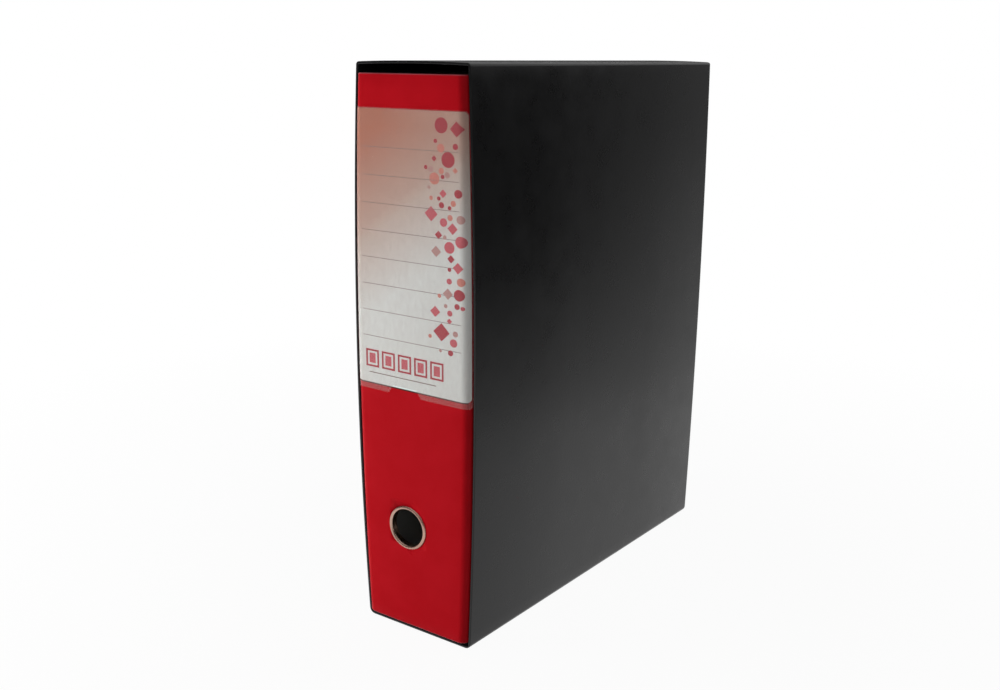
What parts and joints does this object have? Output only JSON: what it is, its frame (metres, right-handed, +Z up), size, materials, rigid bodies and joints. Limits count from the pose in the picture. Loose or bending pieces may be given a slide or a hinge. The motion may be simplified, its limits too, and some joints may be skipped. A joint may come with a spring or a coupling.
{
  "type": "lever arch binder in a slipcase",
  "caption": "Lever arch binder with a red paper-covered board cover, spine label pocket and finger ring, standing in a black board slipcase open at the front.",
  "frame": {"origin": "bottom centre of the closed box file, on the surface that it stands on", "axes": "+Z up; -Y out of the slipcase's mouth, the way the spine faces; +X towards the binder's front cover"},
  "size_m": [0.091, 0.2814, 0.35],
  "materials": {
    "case_paper": "embossed black covering paper, satin",
    "cover_paper": "red covering paper, satin",
    "label_card": "printed card, matt",
    "pocket_film": "clear soft film, glossy",
    "ring_nickel": "nickel plate, polished",
    "plated_steel": "nickel plated steel, satin"
  },
  "bodies": {
    "case": {"slipcase": "case_paper"},
    "binder": {"cover": "cover_paper", "spine_label": "label_card", "label_pocket": "pocket_film", "finger_ring": "ring_nickel", "finger_ring_washer": "ring_nickel", "base_plate": "plated_steel", "base_rivet_1": "plated_steel", "base_rivet_2": "plated_steel", "base_rivet_3": "plated_steel", "base_rivet_4": "plated_steel", "post_upper": "plated_steel", "post_lower": "plated_steel", "lever_pin": "plated_steel"},
    "arch": {"arch_wire": "plated_steel"},
    "lever": {"lever": "plated_steel", "lever_nose_pin": "plated_steel"},
    "compressor": {"compressor_bar": "plated_steel", "compressor_catch": "plated_steel", "catch_rivet": "plated_steel"}
  },
  "joints": [
    {"name": "binder_slide", "type": "slide", "parent": "case", "child": "binder", "axis": [0, -1, 0], "range_m": [0, 0.275]},
    {"name": "lever_hinge", "type": "hinge", "parent": "binder", "child": "lever", "pos_m": [-0.02886, -0.08935, 0.17295], "axis": [0, 0, 1], "range_deg": [0, 76]},
    {"name": "arch_hinge", "type": "hinge", "parent": "binder", "child": "arch", "pos_m": [-0.02986, -0.11135, 0.17295], "axis": [0, 0, 1], "range_deg": [-38, 0]},
    {"name": "compressor_slide", "type": "slide", "parent": "binder", "child": "compressor", "axis": [1, 0, 0], "range_m": [0, 0.018]}
  ],
  "couplings": [
    {"joint": "arch_hinge", "follows": "lever_hinge", "ratio": -0.5}
  ]
}
